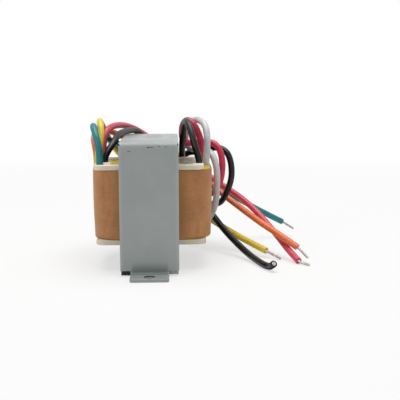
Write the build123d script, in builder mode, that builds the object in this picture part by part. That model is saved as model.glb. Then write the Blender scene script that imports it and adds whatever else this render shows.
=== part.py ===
from build123d import *
from math import pi, radians, tan
import os

# Speaker line transformer, in millimetres: a wound bobbin on a core of E and I plates, held in a folded
# channel bracket with two slotted feet, and eight hook-up leads with bare tinned tips.
# X runs along the coil's two open ends, Y from foot to foot, Z up. The origin is on the floor, midway
# between the feet.

# Core plates, stacked along X
tongue = 15.4
limb = 7.7
window_width = 11.6
window_height = 32.75
plate_count = 43
plate_pitch = 0.5
plate_thickness = 0.47
butt_gap = 0.05
core_lift = 0.4

# Channel bracket
sheet = 1.2
core_clearance = 0.25
strap_overhang = 0.25
top_bend = 0.8
foot_bend = 0.6
foot_reach = 9.4
foot_width = 14.4
foot_corner = 1.2
shoulder_height = 2.15
slot_width = 4.0
slot_length = 4.8
slot_setback = 3.85

# Bobbin
tongue_clearance = 0.15
bobbin_wall = 1.0
bobbin_corner = 0.8
flange = 1.9
flange_length = 42.4
flange_skew = 0.35
flange_corner = 3.5
flange_edge = 0.3
limb_clearance = 0.9
upper_yoke_gap = 0.1
lower_yoke_gap = 1.95

# Coil layers, as their thickness on the faces beside the limbs; the secondary takes the room that is left
primary_build = 4.5
insulation_build = 0.4
tape_build = 0.3
paper_build = 0.4
layer_gap = 0.03
flange_gap = 0.1
end_overhang = 2.07
coil_shift = 0.9
fold_thickness = 0.25

# Leads
lead_diameter = 2.7
hole_clearance = 0.15
tip_diameter = 1.0
tip_straight = 1.4
flush_stub = 0.4
run_share = 0.45

# The routes of the leads, from the coil's upper face to the end of the insulation
lead_routes = {
    "green_lead": [
        (-19.1, -13.5, 38.75), (-19.1, -13.5, 42.5), (-19.5, -13, 47.5), (-21.2, -11, 52.3),
        (-22.6, -4.5, 56.2), (-22.4, 3.5, 52.4), (-20.3, 10.5, 50.8), (-17.5, 17, 48), (-14.5, 24.5, 46),
        (-12.5, 32, 44), (-4, 38, 41), (7.5, 41, 36), (21.5, 41.5, 29), (31.5, 42.5, 23.5), (41, 44.5, 17.7),
        (50.5, 47.5, 12.1), (60, 51, 7),
    ],
    "yellow_lead": [
        (-20.6, -6.2, 38.75), (-20.6, -6.2, 42), (-20.1, -5.5, 45.5), (-19.2, -3.6, 50.5), (-19.7, 0.4, 55.9),
        (-20.9, 9.5, 56.7), (-19.9, 17, 53), (-18, 25, 46.9), (-15, 31.5, 41.6), (-7.5, 36.5, 33.8),
        (2.5, 38.5, 26), (13, 38.5, 17.5), (25.5, 33, 11.5), (32, 23.5, 8.5), (39.5, 13, 5.5), (47, 3, 3),
    ],
    "orange_lead": [
        (-21.5, 1.5, 38.75), (-21.5, 1.5, 43), (-22.4, 3.2, 47.3), (-23.5, 10, 49.2), (-23.3, 17.5, 51.4),
        (-20.5, 24.5, 52.1), (-16.5, 29.5, 50.5), (-12.5, 35, 48), (-4, 37, 45), (6.5, 37, 40),
        (17, 36.5, 34), (27, 33.5, 26), (33.5, 28.5, 21), (40.5, 18.5, 16.5), (46.5, 8, 13), (52.5, 1.5, 9.8),
        (59, -3.5, 5.6),
    ],
    "left_red_lead": [
        (-17.6, 3.2, 38.75), (-17.6, 3.2, 42.5), (-18.1, 4, 48), (-18.6, 6.5, 52.7), (-16.2, 14, 54.3),
        (-12.4, 27, 54), (-7.5, 37, 51.7), (-0.5, 40.8, 46.7), (11, 40.8, 39.3), (22, 39.5, 32.8),
        (27.5, 37, 28.5), (33.7, 34, 24.7), (39.4, 28.5, 21.2), (44.3, 21.5, 17.1), (49.2, 14.5, 11.9),
        (53, 6, 7.5), (56, -2, 3.7), (58.5, -10, 1.4),
    ],
    "left_black_lead": [
        (-18.2, -3.4, 38.75), (-18.2, -3.4, 41.6), (-17.2, -2.5, 45), (-15.2, 1.5, 48.6), (-13.2, 9, 51.5),
        (-10.4, 20, 51.9), (-7, 31.6, 51.6), (-2.6, 34.4, 47.2), (5.5, 32.7, 41), (12, 32.5, 32),
        (18, 31, 23.5), (25.5, 24.5, 15.5), (30.5, 16, 9.6), (35.6, 7, 5.1), (39.6, -2, 2.4),
        (42.4, -11, 1.6), (43.9, -17.6, 1.4), (45.3, -21.6, 1.7), (45.9, -24.4, 3.6),
    ],
    "right_black_lead": [
        (19.3, -9.4, 38.75), (19.3, -9.4, 41.6), (18.2, -9, 45), (16.6, -7, 51), (15.1, -2.5, 56.2),
        (13.8, 6, 56.7), (13.3, 11.5, 51.5), (12.9, 14.9, 46.7), (12.8, 20.8, 41.6), (12.8, 21.2, 35),
        (13, 25.2, 32.9), (13.2, 29.2, 35), (14.2, 30, 40.5), (18, 28.6, 43.4), (22, 27, 43.7),
        (25.5, 25.5, 43.9), (29.1, 23.8, 44.1), (32.3, 21.5, 42.3), (33.9, 20, 37.5), (34, 19.5, 31),
        (32, 21, 25), (29.5, 27, 19), (24.5, 33.5, 18.5), (21.5, 40, 13), (18, 46.5, 7), (15, 52.5, 2.6),
    ],
    "right_red_lead": [
        (20.2, 7, 38.75), (20.2, 7, 41.6), (21, 7, 45), (19.9, 6.8, 50.5), (17.6, 6.6, 55.3), (15, 9.5, 57.4),
        (13.1, 13.5, 55), (12.7, 17.3, 50.7), (13.2, 19.8, 47.8), (15.5, 21.2, 46.2), (19, 21.5, 46.5),
        (22.8, 20.3, 46.5), (26.2, 17.5, 46.8), (28.8, 15, 43.8), (29.8, 14, 38.5), (29.4, 15, 32),
        (27.5, 18.5, 26.5), (25.3, 25, 23.7), (22.2, 31.5, 22.9), (18.5, 38, 19), (14.5, 43.5, 13.5),
        (10, 49, 7.5), (6, 54.5, 3.1),
    ],
    "white_lead": [
        (22.1, -7.2, 38.75), (22.1, -7.2, 41.6), (22.6, -7, 45.5), (22.8, -4, 51), (22.1, 3.5, 55.3),
        (19.1, 12, 56.9), (15.9, 18.2, 55.2), (14.2, 22.9, 50.2), (14.6, 25.3, 45.4), (17, 25.3, 43.1),
        (20.8, 22.3, 43.3), (24, 17.5, 43.5), (26, 13, 41), (27.3, 10.5, 36), (27.2, 10.5, 29.5),
        (27, 13, 22.5), (25.5, 19, 15.5), (20.5, 26, 8.5), (15.5, 33, 3.6), (11, 40, 1.6), (6.5, 46.5, 1.4),
    ],
}
# Where each bare tip ends; the left black lead is cut flush and has no such point
tip_ends = {
    "green_lead": (65.6, 53.2, 3.3),
    "yellow_lead": (52.4, -1.7, 0.6),
    "orange_lead": (62.5, -8, 2.2),
    "left_red_lead": (62.2, -13.7, 0.6),
    "right_black_lead": (12.4, 57.2, 0.6),
    "right_red_lead": (2.4, 59.2, 0.6),
    "white_lead": (3.2, 51.6, 0.6),
}

# Sizes that follow from those above
core_length = tongue + 2 * limb + 2 * window_width
core_height = window_height + 2 * limb
stack = plate_count * plate_pitch
core_middle = core_lift + core_height / 2
strap_width = stack + 2 * strap_overhang
leg_inside = core_length / 2 + core_clearance
leg_outside = leg_inside + sheet
strap_underside = core_lift + core_height + core_clearance
foot_tip = leg_outside + foot_reach
slot_place = foot_tip - slot_setback
hole_diameter = lead_diameter + 2 * hole_clearance
bore_x = stack + 2 * tongue_clearance
bore_y = tongue + 2 * tongue_clearance
tube_length = bore_x + 2 * bobbin_wall
tube_width = bore_y + 2 * bobbin_wall
bobbin_bottom = core_lift + limb + lower_yoke_gap
bobbin_top = core_lift + limb + window_height - upper_yoke_gap
flange_width = tongue + 2 * window_width - 2 * limb_clearance
coil_bottom = bobbin_bottom + flange + flange_gap
coil_top = bobbin_top - flange - flange_gap

os.makedirs("parts", exist_ok=True)


def save(piece, name):
    """Label a finished piece and write it to its own file."""
    piece.label = name
    export_step(piece, f"parts/{name}.step")


# Channel bracket: one strip folded over the core, narrowed below the shoulders and turned out into the feet
with BuildPart() as bracket:
    with BuildSketch(Plane.YZ):
        with BuildLine():
            FilletPolyline(
                (-foot_tip, 0),
                (-leg_inside, 0),
                (-leg_inside, strap_underside),
                (leg_inside, strap_underside),
                (leg_inside, 0),
                (foot_tip, 0),
                radius=[foot_bend + sheet, top_bend, top_bend, foot_bend + sheet],
            )
            offset(amount=sheet, side=Side.LEFT)
        make_face()
    extrude(amount=strap_width / 2, both=True)
    with BuildSketch():
        Rectangle(strap_width, 2 * foot_tip)
        Rectangle(foot_width, 2 * foot_tip, mode=Mode.SUBTRACT)
    extrude(amount=shoulder_height, mode=Mode.SUBTRACT)
    fillet(bracket.edges().filter_by(Axis.Z).group_by(lambda edge: abs(edge.center().Y))[-1], foot_corner)
    with BuildSketch():
        with Locations((0, slot_place), (0, -slot_place)):
            SlotOverall(slot_length, slot_width, rotation=90)
    extrude(amount=sheet, mode=Mode.SUBTRACT)
save(bracket.part, "channel_bracket")

# Core plates: every second E plate is turned over, and an I plate closes the open side of each
plate_planes = [
    Plane(
        origin=(index * plate_pitch - stack / 2, 0, core_middle),
        x_dir=(0, -1 if index % 2 else 1, 0),
        z_dir=(1, 0, 0),
    )
    for index in range(plate_count)
]
plate_foot = (Align.CENTER, Align.MIN)
plate_head = (Align.CENTER, Align.MAX)

with BuildPart() as e_plates:
    with BuildSketch(*plate_planes):
        with Locations((0, -core_height / 2)):
            Rectangle(core_length, limb + window_height, align=plate_foot)
        with Locations((0, limb - core_height / 2)):
            with GridLocations(tongue + window_width, 0, 2, 1):
                Rectangle(window_width, window_height, align=plate_foot, mode=Mode.SUBTRACT)
    extrude(amount=plate_thickness)
save(e_plates.part, "e_plates")

with BuildPart() as i_plates:
    with BuildSketch(*plate_planes):
        with Locations((0, core_height / 2)):
            Rectangle(core_length, limb - butt_gap, align=plate_head)
    extrude(amount=plate_thickness)
save(i_plates.part, "i_plates")

# Bobbin: a square tube with a flange at each end, moulded in one, with a way out for each lead. It has warped
# a little, so the upper flange lies to the left and the lower one to the right.
lead_starts = [route[0][:2] for route in lead_routes.values()]
edge_room = hole_diameter / 2 + flange_edge
flange_planes = [
    Plane((flange_skew, 0, bobbin_bottom)),
    Plane((-flange_skew, 0, bobbin_top - flange)),
]


def room_to_end(x):
    """How far inside the nearer end of the upper flange a place on it lies."""
    return flange_length / 2 - abs(x + flange_skew)


open_notches = [(x, y) for x, y in lead_starts if 0 < room_to_end(x) < edge_room]

with BuildPart() as bobbin:
    with BuildSketch(*flange_planes):
        RectangleRounded(flange_length, flange_width, flange_corner)
    extrude(amount=flange)
    with BuildSketch(Plane.XY.offset(bobbin_bottom)):
        RectangleRounded(tube_length, tube_width, bobbin_corner)
    extrude(amount=bobbin_top - bobbin_bottom)
    with BuildSketch(Plane.XY.offset(bobbin_bottom)):
        Rectangle(bore_x, bore_y)
    extrude(amount=bobbin_top - bobbin_bottom, mode=Mode.SUBTRACT)
    with BuildSketch(Plane.XY.offset(bobbin_top - flange)):
        with Locations(*lead_starts):
            Circle(hole_diameter / 2)
        for x, y in open_notches:
            side = 1 if x > 0 else -1
            with Locations((side * flange_length / 2 - flange_skew, y)):
                Rectangle(2 * room_to_end(x), hole_diameter)
    extrude(amount=flange, mode=Mode.SUBTRACT)
save(bobbin.part, "bobbin")


# Coil: the two windings with insulation between them, closed by yellow tape and a wrap of brown paper. Beside
# the limbs the paper lies flush with the flanges. At the open ends it stands out, more on the right.
paper_depth = (flange_width - tube_width) / 2
tape_depth = paper_depth - paper_build
secondary_depth = tape_depth - tape_build
primary_depth = layer_gap + primary_build
insulation_depth = primary_depth + insulation_build
end_bulge = ((flange_length - tube_length) / 2 + end_overhang) / paper_depth


def coil_outline(depth, mode=Mode.ADD):
    """The coil's outline so deep into its build from the tube, and shifted the more the deeper it is."""
    with Locations((coil_shift * depth / paper_depth, 0)):
        RectangleRounded(
            tube_length + 2 * depth * end_bulge, tube_width + 2 * depth, bobbin_corner + depth, mode=mode
        )


def coil_layer(inside, outside):
    """A layer of the coil between two depths, as tall as the room between the flanges."""
    with BuildPart() as layer:
        with BuildSketch(Plane.XY.offset(coil_bottom)):
            coil_outline(outside)
            coil_outline(inside, Mode.SUBTRACT)
        extrude(amount=coil_top - coil_bottom)
    return layer.part


save(coil_layer(layer_gap, primary_depth), "primary_winding")
save(coil_layer(primary_depth + layer_gap, insulation_depth), "winding_insulation")
save(coil_layer(insulation_depth + layer_gap, secondary_depth), "secondary_winding")
save(coil_layer(tape_depth + layer_gap, paper_depth), "paper_wrap")

# Winding tape: past the ends of the upper flange it is folded over the coil's edge, and the leads there pass
# through the fold
with BuildPart() as tape:
    add(coil_layer(secondary_depth + layer_gap, tape_depth))
    with BuildSketch(Plane.XY.offset(coil_top)):
        coil_outline(tape_depth)
        with Locations((-flange_skew, 0)):
            Rectangle(flange_length + 2 * flange_gap, flange_width, mode=Mode.SUBTRACT)
        with Locations(*lead_starts):
            Circle(hole_diameter / 2, mode=Mode.SUBTRACT)
    extrude(amount=fold_thickness)
save(tape.part, "winding_tape")


def bend_radii(points):
    """The radius at each corner of a route, as large as the shorter of its two runs allows."""
    radii = []
    for before, corner, after in zip(points, points[1:], points[2:]):
        run_in = Vector(corner) - Vector(before)
        run_out = Vector(after) - Vector(corner)
        half_turn = radians(run_in.get_angle(run_out)) / 2
        radii.append(run_share * min(run_in.length, run_out.length) / tan(half_turn))
    return radii


def wire(points, diameter, name):
    """A round wire along a route, with its radii and its volume against its section times its length."""
    radii = bend_radii(points)
    with BuildPart() as round_wire:
        with BuildLine():
            path = FilletPolyline(*points, radius=radii) if radii else Line(*points)
        with BuildSketch(Plane(origin=path @ 0, z_dir=path % 0)):
            Circle(diameter / 2)
        sweep()
    share = round_wire.part.volume / (pi * diameter**2 / 4 * path.length)
    print(name, f"length {path.length:.1f}, volume {share:.4f} of section times length,",
          "radii", [round(radius, 1) for radius in radii])
    return round_wire.part


# Leads, each with a bare tip that leaves it squarely before it bends
for name, route in lead_routes.items():
    save(wire(route, lead_diameter, name), name)
    lead_end = Vector(route[-1])
    heading = (lead_end - Vector(route[-2])).normalized()
    if name in tip_ends:
        tip_route = [lead_end, lead_end + heading * tip_straight, Vector(tip_ends[name])]
    else:
        tip_route = [lead_end, lead_end + heading * flush_stub]
    save(wire(tip_route, tip_diameter, f"{name}_tip"), f"{name}_tip")
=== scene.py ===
import bmesh
import bpy
import math
import random
from mathutils import Matrix, Vector, noise


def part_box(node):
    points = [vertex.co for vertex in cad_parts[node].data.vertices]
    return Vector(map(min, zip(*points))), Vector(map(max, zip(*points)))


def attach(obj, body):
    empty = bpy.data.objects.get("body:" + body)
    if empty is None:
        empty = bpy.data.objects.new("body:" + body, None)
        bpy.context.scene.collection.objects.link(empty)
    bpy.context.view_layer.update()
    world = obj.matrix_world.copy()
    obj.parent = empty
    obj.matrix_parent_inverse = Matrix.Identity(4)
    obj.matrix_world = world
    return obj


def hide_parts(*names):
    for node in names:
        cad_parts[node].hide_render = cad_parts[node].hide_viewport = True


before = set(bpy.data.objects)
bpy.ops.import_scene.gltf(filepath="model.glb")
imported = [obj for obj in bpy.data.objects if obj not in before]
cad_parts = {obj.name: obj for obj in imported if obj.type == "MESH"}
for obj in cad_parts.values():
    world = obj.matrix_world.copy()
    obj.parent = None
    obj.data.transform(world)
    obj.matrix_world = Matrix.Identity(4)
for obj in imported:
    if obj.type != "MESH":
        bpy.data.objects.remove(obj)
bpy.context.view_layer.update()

# Core: E and I plates stamped from thin electrical steel, stacked in turn, varnished, held by the bracket.
# Every second E plate is turned over. No plate is quite level, so the stack's ends look like a comb.
# Sizes are in metres, and a list that is multiplied by mm where it is used is in millimetres.
mm = 0.001
core_low, core_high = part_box("e_plates")
core_middle = (core_low.z + core_high.z) / 2
core_half_length = core_high.y
core_half_height = (core_high.z - core_low.z) / 2
plate_count = 43
plate_pitch = 0.5 * mm
plate_thickness = 0.47 * mm
plate_edge = 0.05 * mm
plate_limb = 7.7 * mm
plate_tongue = 15.4 * mm
plate_slip_along = 0.12 * mm
plate_slip_upright = 0.08 * mm
stack_lean_left = -0.24 * mm
stack_lean_right = 0.12 * mm
butt_gap = 0.05 * mm
plate_seed = 5
varnish_dark = (0.018, 0.019, 0.019)
varnish_pale = (0.085, 0.086, 0.084)
varnish_tones = (0.1, 1.0)
varnish_roughness = 0.42
varnish_metal = 0.35
varnish_grain = (2600.0, 3.0, 0.55)
varnish_bump = 0.04 * mm
edge_rust = (0.075, 0.052, 0.038)
rust_grain = (420.0, 3.0, 0.55)
rust_span = (0.56, 0.72)
# A paler, steel-grey tone on the lower right-hand plates.
pale_plate_tone = (0.40, 0.41, 0.405)
pale_plate_from = 6.9 * mm
pale_plate_fully = 7.7 * mm
pale_plate_height = 3.0 * mm
pale_plate_fade = 1.3


def placed(name, data):
    """A new object in the scene."""
    thing = bpy.data.objects.new(name, data)
    bpy.context.scene.collection.objects.link(thing)
    return thing


def new_piece(name, mesh_or_curve, slot, *nodes):
    """Adds a piece to the scene on the part's one body, in place of the solids that it stands for."""
    piece = placed(name, mesh_or_curve)
    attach(piece, "root")
    if nodes:
        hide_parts(*nodes)
    return piece


def node_adder(tree):
    """A helper that adds a node to a tree, its inputs set or wired; _0 is the first one, and so on."""
    def add(kind, operation=None, **inputs):
        node = tree.nodes.new(kind)
        if operation:
            node.operation = operation
        for key, value in inputs.items():
            socket = node.inputs[int(key[1:]) if key[0] == "_" else key]
            if isinstance(value, bpy.types.NodeSocket):
                tree.links.new(value, socket)
            else:
                socket.default_value = value
        return node

    return add


def finish_nodes(name, roughness, metallic=0.0, shine=0.5):
    """A new material, its shader, a helper that adds nodes to it, and the place on the piece."""
    material = bpy.data.materials.new(name)
    material.use_nodes = True
    shader = material.node_tree.nodes["Principled BSDF"]
    shader.inputs["Roughness"].default_value = roughness
    shader.inputs["Metallic"].default_value = metallic
    shader.inputs["Specular IOR Level"].default_value = shine
    add = node_adder(material.node_tree)
    return material, shader, add, add("ShaderNodeTexCoord").outputs["Object"]


def ramp_between(add, value, span, first, last):
    """A colour that goes from one to another as a value goes over a span."""
    ramp = add("ShaderNodeValToRGB", Fac=value)
    for element, position, colour in zip(ramp.color_ramp.elements, span, (first, last)):
        element.position = position
        element.color = (*colour, 1)
    return ramp.outputs["Color"]


def share_between(add, value, span, most=1.0):
    """A share that goes from nothing to its most as a value goes over a span."""
    return ramp_between(add, value, span, (0, 0, 0), (most, most, most))


def mixed(add, share, first, second):
    """Two colours mixed by a share."""
    mix = add("ShaderNodeMix")
    mix.data_type = "RGBA"
    for number, value in ((0, share), (6, first), (7, second)):
        if isinstance(value, bpy.types.NodeSocket):
            mix.id_data.links.new(value, mix.inputs[number])
        else:
            mix.inputs[number].default_value = value if isinstance(value, float) else (*value, 1)
    return mix.outputs[2]


def speckle(add, place, grain):
    """A noise over the surface, with its scale, detail and roughness."""
    scale, detail, rough = grain
    texture = add("ShaderNodeTexNoise", Vector=place, Scale=scale, Detail=detail, Roughness=rough)
    return texture.outputs["Fac"]


def between_values(add, value, nothing, full, course="SMOOTHSTEP"):
    """Rises smoothly or evenly from nought to one as a value goes from one place to another."""
    rise = add("ShaderNodeMapRange", Value=value)
    rise.interpolation_type = course
    rise.inputs["From Min"].default_value = nothing
    rise.inputs["From Max"].default_value = full
    return rise.outputs[0]


def product(add, first, second):
    """Two values multiplied."""
    return add("ShaderNodeMath", "MULTIPLY", _0=first, _1=second).outputs[0]


def coloured(shader, colour):
    """Gives a surface its colour."""
    shader.id_data.links.new(colour, shader.inputs["Base Color"])


def bumped(add, shader, height, depth, strength=1.0):
    """Raises and lowers a surface by a height, to a depth in metres."""
    bump = add("ShaderNodeBump", Height=height, Distance=depth, Strength=strength)
    shader.id_data.links.new(bump.outputs["Normal"], shader.inputs["Normal"])


def core_varnish():
    """Dark varnish on steel, each plate its own tone, rusty in places, paler at the lower right."""
    material, shader, add, place = finish_nodes("core_varnish", varnish_roughness, varnish_metal)
    split = add("ShaderNodeSeparateXYZ", Vector=place)
    row = add("ShaderNodeMath", "DIVIDE", _0=split.outputs["X"], _1=plate_pitch)
    row_number = add("ShaderNodeMath", "FLOOR", _0=row.outputs[0])
    plate_tone = add("ShaderNodeTexWhiteNoise")
    plate_tone.noise_dimensions = "1D"
    shader.id_data.links.new(row_number.outputs[0], plate_tone.inputs["W"])
    colour = ramp_between(add, plate_tone.outputs["Value"], varnish_tones, varnish_dark, varnish_pale)
    rusty = share_between(add, speckle(add, place, rust_grain), rust_span)
    colour = mixed(add, rusty, colour, edge_rust)
    # Paler towards the lower right.
    paler_plates = product(
        add, between_values(add, split.outputs["X"], pale_plate_from, pale_plate_fully),
        between_values(add, split.outputs["Z"], pale_plate_fade * pale_plate_height, pale_plate_height),
    )
    coloured(shader, mixed(add, paler_plates, colour, pale_plate_tone))
    bumped(add, shader, speckle(add, place, varnish_grain), varnish_bump)
    return material


def finished_mesh(name, mesh):
    """The mesh data for a piece, from a mesh that has been worked on."""
    data = bpy.data.meshes.new(name)
    mesh.to_mesh(data)
    mesh.free()
    return data


def stamped_plates(name, outline, slips):
    """One mesh of flat plates, all with the same outline in Y and Z, every second one upside down."""
    mesh = bmesh.new()
    for index, (along, up) in enumerate(slips):
        near = core_low.x + index * plate_pitch
        turn = -1 if index % 2 else 1
        ring = [mesh.verts.new((near, y + along, core_middle + turn * z + up)) for y, z in outline]
        face = mesh.faces.new(ring)
        grown = bmesh.ops.extrude_face_region(mesh, geom=[face])
        moved = [part for part in grown["geom"] if isinstance(part, bmesh.types.BMVert)]
        bmesh.ops.translate(mesh, verts=moved, vec=(plate_thickness, 0, 0))
    bmesh.ops.recalc_face_normals(mesh, faces=mesh.faces)
    bmesh.ops.bevel(mesh, geom=mesh.edges[:], offset=plate_edge, segments=1, affect="EDGES", profile=0.5)
    return finished_mesh(name, mesh)


window_top = core_half_height - plate_limb
limb_inside = core_half_length - plate_limb
tongue_side = plate_tongue / 2
e_half = [
    (core_half_length, -core_half_height), (core_half_length, window_top), (limb_inside, window_top),
    (limb_inside, -window_top), (tongue_side, -window_top), (tongue_side, window_top),
]
e_outline = e_half + [(-y, z) for y, z in reversed(e_half)]
i_outline = [
    (-core_half_length, window_top + butt_gap), (core_half_length, window_top + butt_gap),
    (core_half_length, core_half_height), (-core_half_length, core_half_height),
]
plate_draw = random.Random(plate_seed)
plate_slips = []
for index in range(plate_count):
    lean = stack_lean_left + (stack_lean_right - stack_lean_left) * index / (plate_count - 1)
    along = plate_draw.uniform(-plate_slip_along, plate_slip_along)
    plate_slips.append((along, lean + plate_draw.uniform(-plate_slip_upright, plate_slip_upright)))
varnish = core_varnish()
for node, outline in (("e_plates", e_outline), ("i_plates", i_outline)):
    plate_mesh = stamped_plates(f"core_{node}", outline, plate_slips)
    plates = new_piece(f"core_{node}", plate_mesh, "core_steel", node)
    plates.data.materials.append(varnish)

# Bobbin: an oblong tube with a flange at each end, moulded in one from cream nylon, its flanges a bit out
# of line. The upper flange has a hole or an open notch for each lead. The core's tongue fills the tube.
bobbin_low, bobbin_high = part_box("bobbin")
flange_thickness = 1.9 * mm
flange_skew = 0.35 * mm
flange_half_length = bobbin_high.x - flange_skew
flange_corner = 3.5 * mm
flange_round = 0.28 * mm
tube_wall = 1.0 * mm
tube_corner = 0.8 * mm
tube_edge = 0.02 * mm
bore_half_x = 10.9 * mm
bore_half_y = 7.85 * mm
lead_hole = 1.5 * mm
lead_holes = [(-19.1, -13.5), (-18.2, -3.4), (-18.3, 3.4)]
left_notches = [(-21.5, 1.5), (-20.6, -6.2)]
right_notches = [(19.3, -9.4), (20.2, 7.0)]
hole_points = 24
notch_steps = 10
corner_steps = 8
edge_steps = 3
doubled_within = 1e-7
sharp_angle = math.radians(50)
flat_weight = 100
nylon_shade = (0.77, 0.69, 0.525)
nylon_light = (0.90, 0.815, 0.64)
nylon_roughness = 0.46
nylon_grain = (1500.0, 3.0, 0.55)
nylon_bump = 0.05 * mm
nylon_glow = 0.08
nylon_glow_reach = (1.2 * mm, 1.0 * mm, 0.7 * mm)
cloud_grain = (55.0, 3.0, 0.55)
cloud_span = (0.25, 0.6)
# Painted shade: the bobbin's nylon is darkened towards the lower flange.
nylon_painted_shade = (0.58, 0.535, 0.41)
lower_shade_share = 0.5
# Dark varnish stains on the upper flange's top beside the core, partly painted shadow.
stain_and_shadow_colour = (0.115, 0.10, 0.065)
stain_and_shadow_places = [((13.8, -3.0), (7.5, 24.0)), ((-12.2, 8.0), (3.2, 10.0))]
stain_and_shadow_depth = 0.6 * mm
stain_and_shadow_grain = (520.0, 4.0, 0.65)
stain_and_shadow_span = (0.20, 0.46)
stain_and_shadow_share = 0.9
spot_core = 0.35


def arc(centre, radius, start, end, steps):
    """Points along a round stretch, from one angle to another in degrees."""
    points = []
    for step in range(steps + 1):
        angle = math.radians(start + (end - start) * step / steps)
        points.append((centre[0] + radius * math.cos(angle), centre[1] + radius * math.sin(angle)))
    return points


def rounded_box(half_x, half_y, corner, steps=corner_steps):
    """A rectangle with round corners, going round from its lower right side."""
    points = []
    for side_x, side_y, start in ((1, -1, -90), (1, 1, 0), (-1, 1, 90), (-1, -1, 180)):
        centre = (side_x * (half_x - corner), side_y * (half_y - corner))
        points += arc(centre, corner, start, start + 90, steps)
    return points


def notch(x, y, end):
    """A round-bottomed notch from a flange's end to a lead's place, in the outline's own direction."""
    start = 180 + math.copysign(90, end)
    ring = arc((x, y), lead_hole, start, start - 180, notch_steps)
    return [(end, ring[0][1]), *ring, (end, ring[-1][1])]


def flange_outline(shift, right=(), left=()):
    """A flange's outline, moved along X by a shift, with the notches in its right and left ends."""
    corners = [(x + shift, y) for x, y in rounded_box(flange_half_length, bobbin_high.y, flange_corner)]
    quarter = len(corners) // 4
    outline = corners[:quarter]
    for x, y in sorted(right, key=lambda place: place[1]):
        outline += notch(x * mm, y * mm, shift + flange_half_length)
    outline += corners[quarter:3 * quarter]
    for x, y in sorted(left, key=lambda place: -place[1]):
        outline += notch(x * mm, y * mm, shift - flange_half_length)
    return outline + corners[3 * quarter:]


def mesh_of(curve):
    """The mesh that a curve makes, in place of the curve."""
    holder = placed(curve.name, curve)
    bpy.context.view_layer.update()
    mesh = bpy.data.meshes.new_from_object(holder)
    bpy.data.objects.remove(holder)
    bpy.data.curves.remove(curve)
    return mesh


def round_edged_plate(outline, holes, low, high, edge):
    """A flat plate with rounded edges, from an outline and its holes, between two heights."""
    curve = bpy.data.curves.new("plate_outline", "CURVE")
    curve.dimensions = "2D"
    curve.fill_mode = "BOTH"
    curve.extrude = (high - low) / 2 - edge
    curve.bevel_depth = edge
    curve.bevel_resolution = edge_steps
    curve.offset = -edge
    for ring in (outline, *holes):
        spline = curve.splines.new("POLY")
        spline.points.add(len(ring) - 1)
        for point, (x, y) in zip(spline.points, ring):
            point.co = (x, y, 0, 1)
        spline.use_cyclic_u = True
    mesh = mesh_of(curve)
    mesh.transform(Matrix.Translation((0, 0, (low + high) / 2)))
    return mesh


def joined(name, meshes):
    """Several meshes made into one, with doubled points closed up."""
    whole = bmesh.new()
    for mesh in meshes:
        whole.from_mesh(mesh)
        bpy.data.meshes.remove(mesh)
    bmesh.ops.remove_doubles(whole, verts=whole.verts, dist=doubled_within)
    return finished_mesh(name, whole)


def smooth_with_flats(piece):
    """Rounded edges shade smoothly while the flats between them stay flat."""
    piece.data.shade_smooth()
    piece.data.set_sharp_from_angle(angle=sharp_angle)
    weights = piece.modifiers.new("flat_faces", "WEIGHTED_NORMAL")
    weights.keep_sharp = True
    weights.weight = flat_weight


def spot_mask(add, place, centre, reach):
    """One inside an oval patch round a point, falling to nothing at its reach along X, Y and Z."""
    offset = add("ShaderNodeVectorMath", "SUBTRACT", _0=place, _1=centre)
    shares = tuple(1.0 / part for part in reach)
    scaled = add("ShaderNodeVectorMath", "MULTIPLY", _0=offset.outputs[0], _1=shares)
    distance = add("ShaderNodeVectorMath", "LENGTH", _0=scaled.outputs[0])
    return between_values(add, distance.outputs["Value"], 1.0, spot_core, "LINEAR")


def cream_nylon():
    """Cream nylon, faintly clouded, with painted shade making it darker lower down, and dark varnish stains
    with painted shadow on top beside the core.
    """
    material, shader, add, place = finish_nodes("cream_nylon", nylon_roughness)
    colour = ramp_between(add, speckle(add, place, cloud_grain), cloud_span, nylon_shade, nylon_light)
    height = add("ShaderNodeSeparateXYZ", Vector=place).outputs["Z"]
    # Painted shade, darker towards the lower flange.
    lower = between_values(add, height, bobbin_high.z, bobbin_low.z + flange_thickness)
    colour = mixed(add, product(add, lower, lower_shade_share), colour, nylon_painted_shade)
    # Varnish stains and painted shadow on the upper flange's top beside the core.
    stain_and_shadow_noise = speckle(add, place, stain_and_shadow_grain)
    for (x, y), (wide, long) in stain_and_shadow_places:
        patch = spot_mask(add, place, (x * mm, y * mm, bobbin_high.z), (wide * mm, long * mm, stain_and_shadow_depth))
        share = share_between(add, product(add, patch, stain_and_shadow_noise), stain_and_shadow_span, stain_and_shadow_share)
        colour = mixed(add, share, colour, stain_and_shadow_colour)
    coloured(shader, colour)
    shader.inputs["Subsurface Weight"].default_value = nylon_glow
    shader.inputs["Subsurface Radius"].default_value = nylon_glow_reach
    bumped(add, shader, speckle(add, place, nylon_grain), nylon_bump)
    return material


bore = rounded_box(bore_half_x, bore_half_y, tube_edge, 1)
last_hole_angle = 360 - 360 / hole_points
holes = [arc((x * mm, y * mm), lead_hole, 0, last_hole_angle, hole_points - 1) for x, y in lead_holes]
upper_flange = round_edged_plate(
    flange_outline(-flange_skew, right_notches, left_notches), [bore, *holes],
    bobbin_high.z - flange_thickness, bobbin_high.z, flange_round,
)
lower_flange = round_edged_plate(
    flange_outline(flange_skew), [bore], bobbin_low.z, bobbin_low.z + flange_thickness, flange_round,
)
tube = round_edged_plate(
    rounded_box(bore_half_x + tube_wall, bore_half_y + tube_wall, tube_corner), [bore],
    bobbin_low.z + flange_thickness, bobbin_high.z - flange_thickness, tube_edge,
)
bobbin_mesh = joined("bobbin_moulding", [upper_flange, lower_flange, tube])
bobbin = new_piece("bobbin_moulding", bobbin_mesh, "bobbin_nylon", "bobbin")
bobbin.data.materials.append(cream_nylon())
smooth_with_flats(bobbin)

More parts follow.
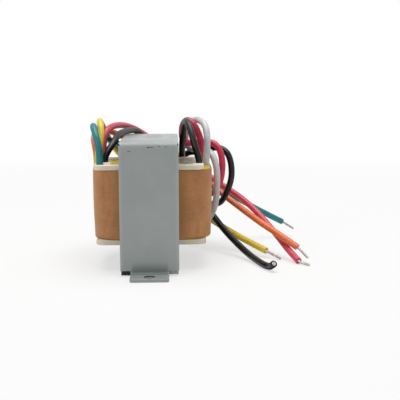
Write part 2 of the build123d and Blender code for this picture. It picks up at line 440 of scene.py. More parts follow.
# Windings: turns of enamelled copper wire in layers round the tube, with film between the two windings.
# They are hidden under the tape and the paper, and their wire ends are joined to the leads.
wire_pitch = 0.32 * mm
wave_scale = math.pi / 10 / wire_pitch
wave_distortion = 0.6
wave_detail = 1.0
wave_span = (0.05, 0.6)
enamel_dark = (0.19, 0.060, 0.022)
enamel_light = (0.42, 0.155, 0.055)
enamel_roughness = 0.28
enamel_metal = 0.75
enamel_groove = 0.1 * mm
film_yellow = (0.76, 0.50, 0.035)
film_darker = 0.55
film_roughness = 0.34
film_shine = 0.2
film_grain = (900.0, 4.0, 0.55)
film_bump = 0.12 * mm
streak_grain = (300.0, 5.0, 0.6)
streak_span = (0.3, 0.6)


def enamelled_copper():
    """Copper wire under clear enamel, with a groove between each turn and the next."""
    material, shader, add, place = finish_nodes("enamelled_copper", enamel_roughness, enamel_metal)
    turns = add(
        "ShaderNodeTexWave", Vector=place, Scale=wave_scale, Distortion=wave_distortion, Detail=wave_detail,
    )
    turns.bands_direction = "Z"
    coloured(shader, ramp_between(add, turns.outputs["Fac"], wave_span, enamel_dark, enamel_light))
    bumped(add, shader, turns.outputs["Fac"], enamel_groove)
    return material


def yellow_film():
    """Thin glossy yellow film tape, with faint streaks where its layers lap."""
    material, shader, add, place = finish_nodes("yellow_film", film_roughness, shine=film_shine)
    darker = tuple(part * film_darker for part in film_yellow)
    coloured(shader, ramp_between(add, speckle(add, place, streak_grain), streak_span, darker, film_yellow))
    bumped(add, shader, speckle(add, place, film_grain), film_bump)
    return material


copper = enamelled_copper()
film = yellow_film()
winding_finishes = {"primary_winding": copper, "winding_insulation": film, "secondary_winding": copper}
for node, finish in winding_finishes.items():
    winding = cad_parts[node]
    winding.data.materials.clear()
    winding.data.materials.append(finish)

# Winding tape: yellow film wound over the windings and pressed down over the coil's edge at its open ends,
# where it shows past the flange. A short torn end of it is stuck to the upper flange beside the core.
tape_low, tape_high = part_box("winding_tape")
tape_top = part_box("secondary_winding")[1].z
tape_corner = 9.95 * mm
tape_points = 240
tape_rows = 12
tape_draw_in = 0.4 * mm
draw_in_share = 0.6
draw_in_curve = 1.5
fold_width = 2.6 * mm
fold_steps = (0.04, 0.12, 0.25, 0.45, 0.7, 1.0)
fold_rise = 0.22 * mm
fold_slope = 0.4 * mm
fold_seat = 0.02 * mm
crinkle_scale = 700.0
crinkle_share = 0.6
upper_flange_right = bobbin_high.x - 2 * flange_skew
upper_flange_left = bobbin_low.x
scrap_outline = [
    (-15.2, -14.2), (-13.2, -14.8), (-11.3, -13.6), (-11.3, 6.6), (-13.4, 7.2), (-15.9, 5.8),
]
scrap_thickness = 0.12 * mm
scrap_edge = 0.03 * mm


def even_outline(low, high, corner, count):
    """Evenly spaced points round a box with rounded corners, with the outward direction at each."""
    middle = Vector(((low.x + high.x) / 2, (low.y + high.y) / 2))
    run_x = (high.x - low.x) / 2 - corner
    run_y = (high.y - low.y) / 2 - corner
    bend = corner * math.pi / 2
    sides = [
        (run_x, run_y, 2 * run_y, 0), (-run_x, run_y, 2 * run_x, 90),
        (-run_x, -run_y, 2 * run_y, 180), (run_x, -run_y, 2 * run_x, 270),
    ]
    outline = []
    for index in range(count):
        along = 4 * (run_x + run_y + bend) * index / count
        for centre_x, centre_y, straight, angle in sides:
            if along <= straight + bend:
                break
            along -= straight + bend
        turned = math.radians(angle) + max(along - straight, 0.0) / corner
        out = Vector((math.cos(turned), math.sin(turned)))
        heading = Vector((-out.y, out.x))
        point = middle + Vector((centre_x, centre_y)) + out * corner - heading * max(straight - along, 0.0)
        outline.append((point, out))
    return outline


def drawn_in(out, share, depth):
    """How far the lower part of the coil draws in at its open ends, at a share of its height."""
    return depth * abs(out.x) * max(0.0, 1.0 - share / draw_in_share) ** draw_in_curve


def skin(mesh, rings):
    """Faces between closed rings of points, each with as many points as the next."""
    for lower, upper in zip(rings, rings[1:]):
        for index in range(len(lower)):
            after = (index + 1) % len(lower)
            mesh.faces.new((lower[index], lower[after], upper[after], upper[index]))


def sleeve(name, rings):
    """A smooth mesh through rings of points."""
    mesh = bmesh.new()
    skin(mesh, [[mesh.verts.new(point) for point in ring] for ring in rings])
    bmesh.ops.recalc_face_normals(mesh, faces=mesh.faces)
    data = finished_mesh(name, mesh)
    data.shade_smooth()
    return data


def tape_rings():
    """The rings of the tape, up the coil's side and then inwards over its edge."""
    outline = even_outline(tape_low, tape_high, tape_corner, tape_points)
    rings = []
    for row in range(tape_rows + 1):
        share = row / tape_rows
        height = tape_low.z + (tape_top - tape_low.z) * share
        places = [point - out * drawn_in(out, share, tape_draw_in) for point, out in outline]
        rings.append([(place.x, place.y, height) for place in places])
    for step in fold_steps:
        ring = []
        for point, out in outline:
            inward = point - out * fold_width * step
            past_flange = max(inward.x - upper_flange_right, upper_flange_left - inward.x)
            crinkle = 1.0 + noise.noise(Vector((inward.x, inward.y, step * mm)) * crinkle_scale)
            rise = fold_rise * min(max(past_flange / fold_slope, 0.0), 1.0) * crinkle_share * crinkle
            ring.append((inward.x, inward.y, tape_top + fold_seat + max(rise, 0.0)))
        rings.append(ring)
    return rings


scrap = round_edged_plate(
    [(x * mm, y * mm) for x, y in scrap_outline], [],
    bobbin_high.z, bobbin_high.z + scrap_thickness, scrap_edge,
)
tape_mesh = joined("tape_band", [sleeve("tape_sleeve", tape_rings()), scrap])
tape = new_piece("tape_band", tape_mesh, "yellow_tape", "winding_tape")
tape.data.materials.append(film)
tape.data.shade_smooth()
tape.data.set_sharp_from_angle(angle=sharp_angle)

# Paper wrap: a strip of brown paper wound over the tape and soaked in varnish, its end stuck down at the
# right. It draws in towards the lower flange, and its uneven lower edge lifts at the right front corner.
paper_low, paper_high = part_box("paper_wrap")
paper_corner = 10.35 * mm
paper_points = 320
paper_rows = 44
paper_thickness = 0.18 * mm
paper_draw_in = 0.48 * mm
lap_step = 0.08 * mm
ragged_edge = 0.35 * mm
ragged_scale = 130
ragged_level = 3.1
front_lifts = [(13.0, 1.9, 0.42), (24.0, 5.5, 0.8)]
wrinkle_depth = 0.05 * mm
wrinkle_scale = (210, 320)
wrinkle_share = 0.6
crease_scale = (60, 900)
crease_share = 0.4
paper_roughness = 0.45
kraft_dark = (0.385, 0.152, 0.045)
kraft_mid = (0.560, 0.245, 0.076)
blotch_grain = (70.0, 4.0, 0.5)
blotch_span = (0.30, 0.66)
kraft_soaked = (0.29, 0.120, 0.040)
soaked_stretch = (1.0, 1.0, 0.45)
soaked_grain = (260.0, 5.0, 0.6)
soaked_span = (0.50, 0.72)
soaked_share = 0.55
kraft_rubbed = (0.66, 0.38, 0.17)
fibre_stretch = (1.0, 1.0, 7.0)
fibre_grain = (420.0, 4.0, 0.7)
fibre_span = (0.45, 0.85)
fibre_share = 0.3
fibre_bump = 0.05 * mm
kraft_spot = (0.09, 0.042, 0.018)
spot_places = [(-20.9, -14.6, 33.2), (-21.4, -13.8, 31.9), (-20.2, -15.6, 32.4), (-21.9, -12.4, 34.6)]
spot_reach = (0.5, 0.6, 0.42)
spot_share = 0.7


def brown_paper():
    """Varnished brown paper: soft blotches, soaked streaks, fine fibres, a few dark spots at the left."""
    material, shader, add, place = finish_nodes("brown_paper", paper_roughness)
    colour = ramp_between(add, speckle(add, place, blotch_grain), blotch_span, kraft_dark, kraft_mid)
    upright = add("ShaderNodeMapping", Vector=place, Scale=soaked_stretch).outputs["Vector"]
    soaked = share_between(add, speckle(add, upright, soaked_grain), soaked_span, soaked_share)
    colour = mixed(add, soaked, colour, kraft_soaked)
    level = add("ShaderNodeMapping", Vector=place, Scale=fibre_stretch).outputs["Vector"]
    fibres = speckle(add, level, fibre_grain)
    colour = mixed(add, share_between(add, fibres, fibre_span, fibre_share), colour, kraft_rubbed)
    for spot in spot_places:
        patch = spot_mask(add, place, [part * mm for part in spot], [part * mm for part in spot_reach])
        colour = mixed(add, product(add, patch, spot_share), colour, kraft_spot)
    coloured(shader, colour)
    bumped(add, shader, fibres, fibre_bump)
    return material


def uneven(point, height, across, upright):
    """A smooth unevenness at a place on the paper, with its scale round the coil and up it."""
    return noise.noise(Vector((point.x * across, point.y * across, height * upright)))


def lower_edge(point, out):
    """The height of the paper's lower edge: cut unevenly, and lifted in places along the front."""
    lift = ragged_edge * max(uneven(point, ragged_level, ragged_scale, 1), 0.0)
    if out.y < 0:
        for x, width, rise in front_lifts:
            lift += rise * mm * math.exp(-((point.x / mm - x) / width) ** 2)
    return paper_low.z + lift


def paper_rings():
    """The rings of the paper, from its lower edge to its upper one, each wound in a little at its start."""
    outline = even_outline(paper_low, paper_high, paper_corner, paper_points)
    rings = []
    for row in range(paper_rows + 1):
        share = row / paper_rows
        ring = []
        for index, (point, out) in enumerate(outline):
            low = lower_edge(point, out)
            height = low + (paper_high.z - low) * share
            wound_in = lap_step * (1.0 - index / paper_points)
            wrinkle = wrinkle_share * uneven(point, height, *wrinkle_scale)
            crease = crease_share * uneven(point, height, *crease_scale)
            sunk = wrinkle_depth * (1.0 + wrinkle + crease)
            place = point - out * (drawn_in(out, share, paper_draw_in) + wound_in + sunk)
            ring.append((place.x, place.y, height))
        rings.append(ring)
    return rings


paper = new_piece("paper_sleeve", sleeve("paper_sleeve", paper_rings()), "brown_paper", "paper_wrap")
paper.data.materials.append(brown_paper())
paper_wall = paper.modifiers.new("paper_wall", "SOLIDIFY")
paper_wall.thickness = paper_thickness
paper_wall.offset = -1.0

# Channel bracket: one strip of sheet steel cut to a blank with two narrow slotted ends, folded over the
# core, turned out into the feet and painted grey. The spring of its legs and the varnish hold the core.
bracket_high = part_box("channel_bracket")[1]
sheet = 1.2 * mm
sheet_edge = 0.14 * mm
top_bend = 0.8 * mm + sheet / 2
foot_bend = 0.6 * mm + sheet / 2
leg_middle = 27.85 * mm
foot_half_width = 7.2 * mm
foot_corner = 1.2 * mm
shoulder_height = 2.15 * mm
shoulder_round = 0.3 * mm
shoulder_steps = 4
slot_half_width = 2.0 * mm
slot_half_length = 2.4 * mm
slot_place = 34.0 * mm
slot_steps = 12
bend_steps = 8
flat_step = 5.0 * mm
paint_grey = (0.330, 0.360, 0.352)
paint_dusty = (0.365, 0.390, 0.380)
paint_roughness = 0.27
paint_shine = 0.32
dust_grain = (75.0, 5.0, 0.62)
dust_span = (0.35, 0.7)
peel_grain = (820.0, 3.0, 0.55)
peel_bump = 0.05 * mm
peel_strength = 0.6
# Paler and darker patches on the bracket's top, partly smudges and partly painted reflection.
smudges_and_reflections = [
    ((0.5, 8.0), (5.2, 15.0), (0.20, 0.185, 0.185)), ((6.2, 6.0), (2.2, 22.0), (0.45, 0.44, 0.43)),
    ((0.0, -18.5), (16.0, 4.5), (0.24, 0.235, 0.24)), ((-6.0, -6.0), (5.0, 6.0), (0.45, 0.44, 0.43)),
]
smudge_and_reflection_share = 0.45
# Painted shade on each leg just above its foot's fold.
painted_fold_shade = (0.175, 0.205, 0.200)
fold_shade_share = 0.72
band_top = 6.2 * mm
band_half_width = 6.3 * mm
band_end = 31.0 * mm
band_fade = 0.7 * mm
# A painted highlight along the bracket's side edges.
painted_edge_highlight = (0.440, 0.470, 0.460)
edge_highlight_share = 0.5
edge_highlight_from = 9.4 * mm
# Dark primer where the paint is rubbed or chipped, and also painted shade inside the foot slots.
dark_primer_and_slot_shade = (0.020, 0.021, 0.022)
scuffs = [
    (0.9, 48.35, 2.6, 0.22), (3.8, 48.6, 0.8, 0.2), (-0.2, 48.2, 0.9, 0.16),
    (-7.2, 46.8, 1.0, 0.22), (6.3, 48.5, 1.1, 0.14),
]
scuff_reach = 2.4 * mm
scuff_grain = (1900.0, 3.0, 0.55)
scuff_span = (0.24, 0.44)
chips = [(-10.9, 49.2, 0.5, 0.6), (10.9, 49.2, 0.45, 0.6)]
chip_span = (0.1, 0.3)
# Painted shade on the walls inside the foot slots.
slot_shade_low = 0.66 * mm
slot_shade_high = 1.16 * mm
slot_shade_fade = 0.1 * mm
slot_shade_reach = (3.0 * mm, 3.4 * mm, 3.0 * mm)
slot_shade_span = (0.05, 0.2)

leg_front = -leg_middle - sheet / 2
top_middle = bracket_high.z - sheet / 2
strap_half_width = bracket_high.x
foot_middle = sheet / 2
top_run = leg_middle - top_bend
top_arc = top_bend * math.pi / 2
leg_run = (top_middle - top_bend) - (foot_middle + foot_bend)
foot_arc = foot_bend * math.pi / 2
foot_run = bracket_high.y - leg_middle - foot_bend
leg_start = top_run + top_arc
foot_arc_start = leg_start + leg_run
foot_start = foot_arc_start + foot_arc
blank_half_length = foot_start + foot_run


def folded(x, along, out):
    """Where a point of the flat blank goes: along from the strip's middle, out from its middle surface."""
    side = 1 if along >= 0 else -1
    along = abs(along)
    if along <= top_run:
        y, z = along, top_middle + out
    elif along <= leg_start:
        turn = (along - top_run) / top_bend
        y = top_run + (top_bend + out) * math.sin(turn)
        z = top_middle - top_bend + (top_bend + out) * math.cos(turn)
    elif along <= foot_arc_start:
        y, z = leg_middle + out, top_middle - top_bend - (along - leg_start)
    elif along <= foot_start:
        turn = (along - foot_arc_start) / foot_bend
        y = leg_middle + foot_bend - (foot_bend - out) * math.cos(turn)
        z = foot_middle + foot_bend - (foot_bend - out) * math.sin(turn)
    else:
        y, z = leg_middle + foot_bend + (along - foot_start), foot_middle + out
    return Vector((x, side * y, z))


def bracket_blank():
    """The outline of the flat blank: wide over the core, narrow below the shoulders, with round corners."""
    shoulder = foot_arc_start - (shoulder_height - foot_middle - foot_bend)
    foot_place = (foot_half_width - foot_corner, blank_half_length - foot_corner)
    inner_place = (foot_half_width + shoulder_round, shoulder + shoulder_round)
    outer_place = (strap_half_width - shoulder_round, shoulder - shoulder_round)
    quarter = arc(foot_place, foot_corner, 90, 0, corner_steps)
    quarter += arc(inner_place, shoulder_round, 180, 270, shoulder_steps)
    quarter += arc(outer_place, shoulder_round, 90, 0, shoulder_steps)
    right = quarter + [(x, -y) for x, y in reversed(quarter)]
    return right + [(-x, y) for x, y in reversed(right)]


def foot_slot(side):
    """The oblong slot of one foot, on the flat blank."""
    place = side * (blank_half_length - (bracket_high.y - slot_place))
    reach = slot_half_length - slot_half_width
    upper = arc((0, place + reach), slot_half_width, 0, 180, slot_steps)
    lower = arc((0, place - reach), slot_half_width, 180, 360, slot_steps)
    return upper + lower


def bracket_mesh():
    """The blank with its edges rounded, cut across at the folds and folded up."""
    slots = [foot_slot(1), foot_slot(-1)]
    blank = round_edged_plate(bracket_blank(), slots, -sheet / 2, sheet / 2, sheet_edge)
    mesh = bmesh.new()
    mesh.from_mesh(blank)
    bpy.data.meshes.remove(blank)
    bmesh.ops.remove_doubles(mesh, verts=mesh.verts, dist=doubled_within)
    cuts = [top_run + top_arc * step / bend_steps for step in range(bend_steps + 1)]
    cuts += [foot_arc_start + foot_arc * step / bend_steps for step in range(bend_steps + 1)]
    cuts += [flat_step * step for step in range(1, int(top_run / flat_step) + 1)]
    cuts += [leg_start + flat_step * step for step in range(1, int(leg_run / flat_step))]
    for cut in cuts:
        for side in (1, -1):
            bmesh.ops.bisect_plane(
                mesh, geom=mesh.verts[:] + mesh.edges[:] + mesh.faces[:], dist=doubled_within,
                plane_co=(0, side * cut, 0), plane_no=(0, 1, 0),
            )
    for vert in mesh.verts:
        vert.co = folded(*vert.co)
    bmesh.ops.recalc_face_normals(mesh, faces=mesh.faces)
    return finished_mesh("grey_bracket", mesh)


def grey_paint():
    """Satin grey paint: dust and orange peel; paler and darker patches on top, partly smudges and partly
    painted reflection; painted shade above the feet; a painted highlight along the edges.

    It is rubbed dark along the front fold, chipped at the fold's corners, and dark with painted shade
    inside the slots.
    """
    material, shader, add, place = finish_nodes("grey_paint", paint_roughness, shine=paint_shine)
    colour = ramp_between(add, speckle(add, place, dust_grain), dust_span, paint_grey, paint_dusty)
    # Smudges and painted reflection on the top.
    for (x, y), (wide, long), smudge_and_reflection in smudges_and_reflections:
        patch = spot_mask(add, place, (x * mm, y * mm, bracket_high.z), (wide * mm, long * mm, scuff_reach))
        colour = mixed(add, product(add, patch, smudge_and_reflection_share), colour, smudge_and_reflection)
    split = add("ShaderNodeSeparateXYZ", Vector=place)
    height = split.outputs["Z"]
    across = add("ShaderNodeMath", "ABSOLUTE", _0=split.outputs["X"]).outputs[0]
    outward = add("ShaderNodeMath", "ABSOLUTE", _0=split.outputs["Y"]).outputs[0]
    # Painted shade on the legs just above the feet.
    band = product(
        add, between_values(add, height, band_top, shoulder_height),
        between_values(add, across, foot_half_width, band_half_width),
    )
    band = product(add, band, between_values(add, outward, band_end, band_end - band_fade))
    colour = mixed(add, product(add, band, fold_shade_share), colour, painted_fold_shade)
    # Painted highlight along the side edges.
    edges = between_values(add, across, edge_highlight_from, strap_half_width)
    colour = mixed(add, product(add, edges, edge_highlight_share), colour, painted_edge_highlight)

    def front_patch(x, z, wide, tall):
        return spot_mask(add, place, (x * mm, leg_front, z * mm), (wide * mm, scuff_reach, tall * mm))

    grain = speckle(add, place, scuff_grain)
    for scuff in scuffs:
        rubbed = product(add, front_patch(*scuff), grain)
        colour = mixed(add, share_between(add, rubbed, scuff_span), colour, dark_primer_and_slot_shade)
    for chip in chips:
        colour = mixed(add, share_between(add, front_patch(*chip), chip_span), colour, dark_primer_and_slot_shade)
    # Painted shade inside each foot slot.
    for side in (1, -1):
        patch = spot_mask(add, place, (0, side * slot_place, sheet), slot_shade_reach)
        inside = product(
            add, between_values(add, height, slot_shade_low, slot_shade_low + slot_shade_fade),
            between_values(add, height, slot_shade_high, slot_shade_high - slot_shade_fade),
        )
        slot_shade = product(add, share_between(add, patch, slot_shade_span), inside)
        colour = mixed(add, slot_shade, colour, dark_primer_and_slot_shade)
    coloured(shader, colour)
    bumped(add, shader, speckle(add, place, peel_grain), peel_bump, peel_strength)
    return material


bracket = new_piece("grey_bracket", bracket_mesh(), "grey_paint", "channel_bracket")
bracket.data.materials.append(grey_paint())
smooth_with_flats(bracket)

# Leads: eight lengths of stranded hook-up wire in soft plastic insulation, joined to the windings and led
# out through the upper flange, five at the left end and three at the right. They keep their bends.
lead_diameter = 2.7 * mm
lead_steps = 12
lead_round_steps = 7
lead_routes = {
    "green": [
        (-19.1, -13.5, 38.75), (-19.1, -13.5, 42.5), (-19.4, -13, 47.5), (-20.8, -11, 52.3),
        (-22.2, -4.8, 55.8), (-22.6, 3.5, 52.2), (-20.6, 10.5, 50.5), (-17.5, 17, 48), (-14.5, 24.5, 46),
        (-12.5, 32, 44), (-4, 38, 41), (7.5, 41, 36), (21.5, 41.5, 29), (31.5, 42.5, 23.5),
        (41, 44.5, 17.7), (50.5, 47.5, 12.1), (60, 51, 7),
    ],
    "yellow": [
        (-20.6, -6.2, 38.75), (-20.6, -6.2, 42), (-20.1, -5.5, 45.5), (-19.2, -3.6, 50.5),
        (-19.7, 0.4, 55.9), (-20.9, 9.5, 56.7), (-19.9, 17, 53), (-18, 25, 46.9), (-15, 31.5, 41.6),
        (-7.5, 36.5, 33.8), (2.5, 38.5, 26), (13, 38.5, 17.5), (25.5, 33, 11.5), (32, 23.5, 8.5),
        (39.5, 13, 5.5), (47, 3, 3),
    ],
    "orange": [
        (-21.5, 1.5, 38.75), (-21.5, 1.5, 43), (-22.4, 3.2, 47.3), (-23.5, 10, 49.2), (-23.3, 17.5, 51.4),
        (-20.5, 24.5, 52.1), (-16.5, 29.5, 50.5), (-12.5, 35, 48), (-4, 37, 45), (6.5, 37, 40),
        (17, 36.5, 34), (27, 33.5, 26), (33.5, 28.5, 21), (40.5, 18.5, 16.5), (46.5, 8, 13),
        (52.5, 1.5, 9.8), (59, -3.5, 5.6),
    ],
    "left_red": [
        (-18.3, 3.4, 38.75), (-18.4, 3.5, 41.2), (-19.4, 4.4, 44.4), (-18.6, 6.5, 51.9), (-16.2, 14, 54.1),
        (-12.4, 27, 54), (-7.5, 37, 51.7), (-0.5, 40.8, 46.7), (11, 40.8, 39.3), (22, 39.5, 32.8),
        (27.5, 37, 28.5), (33.7, 34, 24.7), (39.4, 28.5, 21.2), (44.3, 21.5, 17.1), (49.2, 14.5, 11.9),
        (53, 6, 7.5), (56, -2, 3.7), (58.5, -10, 1.4),
    ],
    "left_black": [
        (-18.2, -3.4, 38.75), (-18.2, -3.4, 41.6), (-17.1, -2.5, 44.6), (-14.7, 1.5, 47.9), (-13.4, 9, 51),
        (-10.5, 20, 51.7), (-7, 31.6, 51.5), (-2.6, 34.6, 47.2), (5.5, 32.7, 41), (12, 32.5, 32),
        (18, 31, 23.5), (25.5, 24.5, 15.5), (30.5, 16, 9.6), (35.6, 7, 5.1), (39.6, -2, 2.4),
        (42.4, -11, 1.6), (44.3, -17.6, 1.4), (46.2, -21.4, 1.6), (46.9, -24, 3.4),
    ],
    "right_black": [
        (19.3, -9.4, 38.75), (19.3, -9.4, 41.6), (18.2, -9, 45), (16.6, -7, 51), (15.1, -2.5, 56.2),
        (13.8, 6, 56.7), (13.3, 11.5, 51.5), (12.9, 14.9, 46.7), (12.8, 20.8, 41.6), (12.8, 21.2, 35),
        (13, 25.2, 32.9), (13, 29.4, 35), (13.2, 30.6, 39.4), (15.4, 30.6, 41.5), (18.5, 29.3, 41.9),
        (22, 27.6, 42.9), (25.5, 25.5, 43.9), (29.1, 23.8, 44.1), (32.3, 21.5, 42.3), (33.9, 20, 37.5),
        (34, 19.5, 31), (32, 21, 25), (29.5, 27, 19), (24.5, 33.5, 18.5), (21.5, 40, 13), (18, 46.5, 7),
        (15, 52.5, 2.6),
    ],
    "right_red": [
        (20.2, 7, 38.75), (20.2, 7, 41.6), (21, 7, 45), (19.9, 6.8, 50.5), (17.6, 6.6, 55), (15, 9.5, 57),
        (13.1, 13.5, 54.8), (12.7, 17.3, 50.7), (13.2, 19.8, 47.8), (15.5, 21.2, 46.2), (19, 21.5, 46.5),
        (22.8, 20.3, 46.5), (26.2, 17.5, 46.8), (28.8, 15, 43.8), (29.8, 14, 38.5), (29.4, 15, 32),
        (27.5, 18.5, 26.5), (25.3, 25, 23.7), (22.2, 31.5, 22.9), (18.5, 38, 19), (14.5, 43.5, 13.5),
        (10, 49, 7.5), (6, 54.5, 3.1),
    ],
    "white": [
        (22.3, 0.8, 38.75), (22.3, 0.8, 41.6), (22.7, 0.6, 45.5), (22.8, 1.2, 51), (22, 5.5, 55.3),
        (19.1, 12, 56.9), (15.9, 18.2, 55.2), (14.2, 22.9, 50.2), (14.6, 25.3, 45.4), (17, 25.3, 43.3),
        (20.8, 22.3, 43.3), (24, 17.5, 43.5), (26, 13, 41), (27.3, 10.5, 36), (27.2, 10.5, 29.5),
        (27, 13, 22.5), (25.5, 19, 15.5), (20.5, 26, 8.5), (15.5, 33, 3.6), (11, 40, 1.6), (6.5, 46.5, 1.4),
    ],
}
lead_colours = {
    "green": (0.015, 0.215, 0.235), "yellow": (0.820, 0.645, 0.062), "orange": (0.830, 0.190, 0.060),
    "left_red": (0.680, 0.080, 0.125), "left_black": (0.004, 0.003, 0.004),
    "right_black": (0.004, 0.003, 0.004), "right_red": (0.620, 0.032, 0.078),
    "white": (0.620, 0.610, 0.630),
}
lead_slots = {name: f"{name.split('_')[-1]}_insulation" for name in lead_routes}
plastic_roughness = 0.3
plastic_shine = 0.42
plastic_grain = (1300.0, 3.0, 0.55)
plastic_bump = 0.06 * mm
plastic_clouds = (240.0, 4.0, 0.55)
plastic_span = (0.3, 0.7)
plastic_paler = 1.12
plastic_haze = 0.004
plastic_deeper = 0.86


def open_spline(name, points, steps):
    """A smooth open curve with a route's points as its control points."""
    curve = bpy.data.curves.new(name, "CURVE")
    curve.dimensions = "3D"
    spline = curve.splines.new("NURBS")
    spline.points.add(len(points) - 1)
    for control, point in zip(spline.points, points):
        control.co = (*point, 1)
    spline.order_u = 3
    spline.use_endpoint_u = True
    spline.resolution_u = steps
    return curve


def soft_plastic(name, colour):
    """Soft plastic insulation: satin, faintly uneven from the die, paler and deeper in soft clouds."""
    material, shader, add, place = finish_nodes(name, plastic_roughness, shine=plastic_shine)
    pale = tuple(min(part * plastic_paler + plastic_haze, 1.0) for part in colour)
    deep = tuple(part * plastic_deeper for part in colour)
    coloured(shader, ramp_between(add, speckle(add, place, plastic_clouds), plastic_span, deep, pale))
    bumped(add, shader, speckle(add, place, plastic_grain), plastic_bump)
    return material


lead_wires = {}
for name, route in lead_routes.items():
    points = [tuple(part * mm for part in point) for point in route]
    curve = open_spline(f"lead_{name}", points, lead_steps)
    # The points' own radius carries the lead's size, so that the curve's box comes out right
    curve.bevel_depth = 1.0
    curve.bevel_resolution = lead_round_steps
    for control in curve.splines[0].points:
        control.radius = lead_diameter / 2
    curve.use_fill_caps = True
    lead_wires[name] = new_piece(f"lead_{name}", curve, lead_slots[name], f"{name}_lead")
    curve.materials.append(soft_plastic(f"insulation_{name}", lead_colours[name]))

# Tips: the bare ends of the leads, stripped, twisted and tinned, each a bundle of fine copper strands. The
# left black lead is cut flush: its insulation is squeezed to a rim, and only the strands' ends show.
strand_count = 7
strand_radius = 0.2 * mm
strand_lay = 0.34 * mm
strand_pitch = 4.2 * mm
strand_sides = 8
strand_sharp_angle = math.radians(60)
tip_straight = 1.4 * mm
tip_steps = 16
tip_ends = {
    "green": (65.6, 53.2, 3.3), "yellow": (52.4, -1.7, 0.6), "orange": (62.5, -8, 2.2),
    "left_red": (62.2, -13.7, 0.6), "right_black": (12.4, 57.2, 0.6), "right_red": (2.4, 59.2, 0.6),
    "white": (3.2, 51.6, 0.6),
}
flush_stub = 0.3 * mm
cut_spread = 1.55
cut_profile = [
    (-0.9, 1.34), (-0.4, 1.38), (-0.1, 1.38), (0.05, 1.32),
    (0.12, 1.2), (0.1, 1.02), (0.0, 0.92), (-0.3, 0.88),
]
cut_sides = 32
tin_dark = (0.36, 0.305, 0.285)
tin_bright = (0.74, 0.67, 0.635)
tin_roughness = 0.42
tin_metal = 0.7
tin_grain = (4000.0, 3.0, 0.55)
tin_bump = 0.03 * mm
flux_grain = (1400.0, 4.0, 0.55)
flux_span = (0.3, 0.65)


def tinned_strands():
    """Tinned copper, bright on the strands and dull where solder and flux have run between them."""
    material, shader, add, place = finish_nodes("tinned_strands", tin_roughness, tin_metal)
    coloured(shader, ramp_between(add, speckle(add, place, flux_grain), flux_span, tin_dark, tin_bright))
    bumped(add, shader, speckle(add, place, tin_grain), tin_bump)
    return material


def line_points(points):
    """Points along the smooth line through a route, read from its curve."""
    mesh = mesh_of(open_spline("line", points, tip_steps))
    line = [vert.co.copy() for vert in mesh.vertices]
    bpy.data.meshes.remove(mesh)
    return line


def circle_of(centre, across, upward, radius, sides):
    """Points on a circle round a centre, in the plane of two directions."""
    turns = [2 * math.pi * step / sides for step in range(sides)]
    return [centre + (across * math.cos(turn) + upward * math.sin(turn)) * radius for turn in turns]


def twisted_bundle(name, line, wider):
    """A mesh of strands twisted round a line: one along the middle and the rest round it."""
    side = (line[-1] - line[0]).normalized().orthogonal().normalized()
    mesh = bmesh.new()
    for strand in range(strand_count):
        spread = 0.0 if strand == 0 else strand_lay * wider
        travelled = 0.0
        rings = []
        for index, centre in enumerate(line):
            before = line[max(index - 1, 0)]
            after = line[min(index + 1, len(line) - 1)]
            travelled += (centre - before).length
            tangent = (after - before).normalized()
            across = (side - tangent * side.dot(tangent)).normalized()
            upward = tangent.cross(across)
            angle = 2 * math.pi * (strand / (strand_count - 1) + travelled / strand_pitch)
            middle = centre + (across * math.cos(angle) + upward * math.sin(angle)) * spread
            circle = circle_of(middle, across, upward, strand_radius * wider, strand_sides)
            rings.append([mesh.verts.new(point) for point in circle])
        skin(mesh, rings)
        mesh.faces.new(rings[0])
        mesh.faces.new(rings[-1])
    bmesh.ops.recalc_face_normals(mesh, faces=mesh.faces)
    data = finished_mesh(name, mesh)
    data.shade_smooth()
    data.set_sharp_from_angle(angle=strand_sharp_angle)
    return data


def squeezed_rim(name, end, heading):
    """A ring of insulation round a cut end, a little wider than the lead and open in the middle."""
    side = heading.orthogonal().normalized()
    upward = heading.cross(side)
    rings = []
    for along, radius in cut_profile:
        rings.append(circle_of(end + heading * along * mm, side, upward, radius * mm, cut_sides))
    return sleeve(name, rings)


tinned = tinned_strands()
for name, route in lead_routes.items():
    lead_end = Vector(route[-1]) * mm
    heading = (lead_end - Vector(route[-2]) * mm).normalized()
    cut_flush = name not in tip_ends
    if cut_flush:
        tip_route = [lead_end, lead_end + heading * flush_stub / 2, lead_end + heading * flush_stub]
    else:
        tip_route = [lead_end, lead_end + heading * tip_straight, Vector(tip_ends[name]) * mm]
    bundle = twisted_bundle(f"tip_{name}", line_points(tip_route), cut_spread if cut_flush else 1.0)
    tip = new_piece(f"tip_{name}", bundle, "tinned_copper", f"{name}_lead_tip")
    tip.data.materials.append(tinned)
    if cut_flush:
        rim = new_piece("cut_rim", squeezed_rim("cut_rim", lead_end, heading), lead_slots[name])
        rim.data.materials.append(lead_wires[name].data.materials[0])

# Stage: a matt white floor that takes the shadow near the part and fades to plain white further out for the
# camera, under one broad overhead light, a small light from the left and an even pale sky.
floor_half = 3.0
floor_white = (0.86, 0.86, 0.855)
floor_roughness = 0.9
floor_glow = 0.62
shadow_reach = 0.10
white_reach = 0.50
sky_light = 0.36
mirrored_share = 0.6
lights_aim = Vector((0.01, 0.0, 0.025))
overhead_place = Vector((0.02, 0.03, 0.70))
overhead_size = 0.60
overhead_power = 4.3
left_place = Vector((-0.42, -0.46, 0.34))
left_size = 0.14
left_power = 0.40


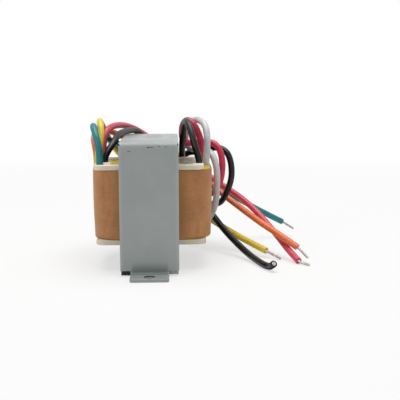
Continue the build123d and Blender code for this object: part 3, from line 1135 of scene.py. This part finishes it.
def pale_floor():
    """A matt white floor that turns to plain white away from the part, where the camera sees it."""
    material, shader, add, place = finish_nodes("pale_floor", floor_roughness, shine=0.0)
    shader.inputs["Base Color"].default_value = (*floor_white, 1)
    distance = add("ShaderNodeVectorMath", "LENGTH", _0=place)
    fade = add("ShaderNodeMapRange", Value=distance.outputs["Value"])
    fade.inputs["From Min"].default_value = shadow_reach
    fade.inputs["From Max"].default_value = white_reach
    fade.inputs["To Min"].default_value = floor_glow
    lift = product(add, fade.outputs[0], add("ShaderNodeLightPath").outputs["Is Camera Ray"])
    glow = add("ShaderNodeEmission", Color=(1, 1, 1, 1), Strength=1.0)
    mix = add("ShaderNodeMixShader", Fac=lift, _1=shader.outputs["BSDF"], _2=glow.outputs["Emission"])
    tree = material.node_tree
    tree.links.new(mix.outputs[0], tree.nodes["Material Output"].inputs["Surface"])
    return material


def soft_light(name, place, size, power):
    """A square soft light at a place, aimed at the part."""
    lamp = bpy.data.lights.new(name, "AREA")
    lamp.shape = "SQUARE"
    lamp.size = size
    lamp.energy = power
    light = placed(name, lamp)
    light.location = place
    light.rotation_euler = (lights_aim - place).to_track_quat("-Z", "Y").to_euler()


floor_mesh = bpy.data.meshes.new("floor")
floor_corners = [(x * floor_half, y * floor_half, 0) for x, y in ((-1, -1), (1, -1), (1, 1), (-1, 1))]
floor_mesh.from_pydata(floor_corners, [], [(0, 1, 2, 3)])
floor = placed("floor", floor_mesh)
floor.data.materials.append(pale_floor())

world = bpy.data.worlds.new("studio")
bpy.context.scene.world = world
world.use_nodes = True
sky = world.node_tree
backdrop = sky.nodes["Background"]
backdrop.inputs["Color"].default_value = (1, 1, 1, 1)
add_to_sky = node_adder(sky)
rays = add_to_sky("ShaderNodeLightPath").outputs
mirrored = product(add_to_sky, rays["Is Glossy Ray"], mirrored_share)
seen = add_to_sky("ShaderNodeMath", "MAXIMUM", _0=rays["Is Camera Ray"], _1=mirrored)
level = add_to_sky("ShaderNodeMapRange", Value=seen.outputs[0])
level.inputs["To Min"].default_value = sky_light
sky.links.new(level.outputs[0], backdrop.inputs["Strength"])

soft_light("overhead_light", overhead_place, overhead_size, overhead_power)
soft_light("left_strip", left_place, left_size, left_power)

# Camera: in front of one foot, a little above the part and a little to its right, looking slightly down.
# Its place, turn and focal length are those that the photo's perspective gave.
camera_place = (8.7 * mm, -327.9 * mm, 70.9 * mm)
camera_yaw = 1.93
camera_pitch = -8.01
camera_roll = -0.20
camera_near = 0.01
sensor_width = 36.0
focal_length = 73.8

camera_data = bpy.data.cameras.new("camera")
camera_data.sensor_width = sensor_width
camera_data.lens = focal_length
camera_data.clip_start = camera_near
camera = placed("camera", camera_data)
turn = Matrix.Rotation(math.radians(-camera_yaw), 4, "Z")
tilt = Matrix.Rotation(math.radians(90 + camera_pitch), 4, "X")
roll = Matrix.Rotation(math.radians(camera_roll), 4, "Z")
camera.matrix_world = Matrix.Translation(camera_place) @ (turn @ tilt @ roll)
bpy.context.scene.camera = camera
bpy.context.scene.view_settings.view_transform = "Standard"
